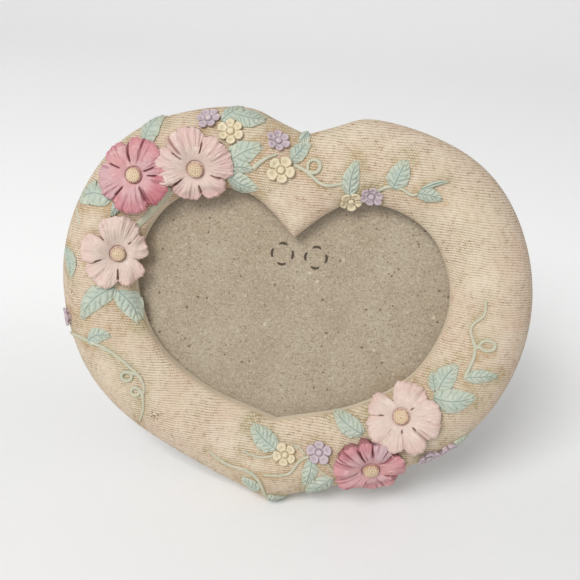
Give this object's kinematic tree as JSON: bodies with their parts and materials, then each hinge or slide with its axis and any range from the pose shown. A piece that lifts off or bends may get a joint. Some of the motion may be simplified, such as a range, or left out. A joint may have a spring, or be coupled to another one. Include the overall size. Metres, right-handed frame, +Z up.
{
  "type": "photo frame",
  "caption": "Heart-shaped table frame with a domed, cloth-textured face, applied flowers and tendrils, and a folding easel leg.",
  "frame": {"origin": "on the surface that the frame stands on, at the small flat under the heart's tip, in the middle of its width", "axes": "+Z up, +X to the right seen from the front; the face looks along -Y and leans back by 20 degrees"},
  "size_m": [0.1772, 0.0653, 0.1422],
  "materials": {
    "linen_resin": "cast resin with a woven cloth texture, matte cream paint",
    "clear_glass": "clear picture glass",
    "chipboard": "unpainted tan board with dark and light flecks",
    "leg_board": "unpainted brown board",
    "zinc_steel": "stamped, dull zinc",
    "brassed_steel": "brass plated, lightly worn",
    "rose_petals": "matte rose paint, paler on the ridges",
    "pink_petals": "matte pale pink paint",
    "cream_centres": "grainy cream paint",
    "lilac_petals": "matte lilac paint",
    "yellow_petals": "matte pale yellow paint",
    "sage_leaves": "matte sage green paint, rubbed",
    "pale_stems": "matte pale green paint, rubbed"
  },
  "bodies": {
    "frame": {"back_board": "chipboard", "button_screws": "brassed_steel", "centre_pink_left": "cream_centres", "centre_pink_lower": "cream_centres", "centre_pink_upper": "cream_centres", "centre_rose_lower": "cream_centres", "centre_rose_upper": "cream_centres", "flower_pink_left": "pink_petals", "flower_pink_lower": "pink_petals", "flower_pink_upper": "pink_petals", "flower_rose_lower": "rose_petals", "flower_rose_upper": "rose_petals", "glass_pane": "clear_glass", "heart_body": "linen_resin", "hinge_pin": "zinc_steel", "hinge_plate": "zinc_steel", "leaves_below_left": "sage_leaves", "leaves_bottom": "sage_leaves", "leaves_left": "sage_leaves", "leaves_lower_middle": "sage_leaves", "leaves_notch": "sage_leaves", "leaves_right": "sage_leaves", "leaves_tip": "sage_leaves", "leaves_top": "sage_leaves", "leaves_upper_left": "sage_leaves", "leaves_upper_middle": "sage_leaves", "leaves_vine_left": "sage_leaves", "leaves_vine_upper": "sage_leaves", "small_flower_1": "lilac_petals", "small_flower_10": "lilac_petals", "small_flower_11": "lilac_petals", "small_flower_2": "yellow_petals", "small_flower_3": "lilac_petals", "small_flower_4": "yellow_petals", "small_flower_5": "yellow_petals", "small_flower_6": "lilac_petals", "small_flower_7": "yellow_petals", "small_flower_8": "lilac_petals", "small_flower_9": "lilac_petals", "tendril_bottom": "pale_stems", "tendril_left": "pale_stems", "tendril_right": "pale_stems", "tendril_spray": "pale_stems", "tendril_upper": "pale_stems"},
    "leg": {"easel_leg": "leg_board", "hinge_leaf": "zinc_steel"},
    "button_upper_left": {"turn_button_upper_left": "brassed_steel"},
    "button_upper_right": {"turn_button_upper_right": "brassed_steel"},
    "button_lower_left": {"turn_button_lower_left": "brassed_steel"},
    "button_lower_right": {"turn_button_lower_right": "brassed_steel"}
  },
  "joints": [
    {"name": "leg_fold", "type": "hinge", "parent": "frame", "child": "leg", "pos_m": [0.002, 0.03123, 0.08056], "axis": [1, 0, 0], "range_deg": [-33, 0]},
    {"name": "button_upper_left_turn", "type": "hinge", "parent": "frame", "child": "button_upper_left", "pos_m": [-0.05093, 0.04278, 0.11478], "axis": [0, -0.9397, 0.342], "continuous": true},
    {"name": "button_upper_right_turn", "type": "hinge", "parent": "frame", "child": "button_upper_right", "pos_m": [0.05093, 0.04278, 0.11478], "axis": [0, -0.9397, 0.342], "continuous": true},
    {"name": "button_lower_left_turn", "type": "hinge", "parent": "frame", "child": "button_lower_left", "pos_m": [-0.06551, 0.02179, 0.05711], "axis": [0, -0.9397, 0.342], "continuous": true},
    {"name": "button_lower_right_turn", "type": "hinge", "parent": "frame", "child": "button_lower_right", "pos_m": [0.06551, 0.02179, 0.05711], "axis": [0, -0.9397, 0.342], "continuous": true}
  ]
}
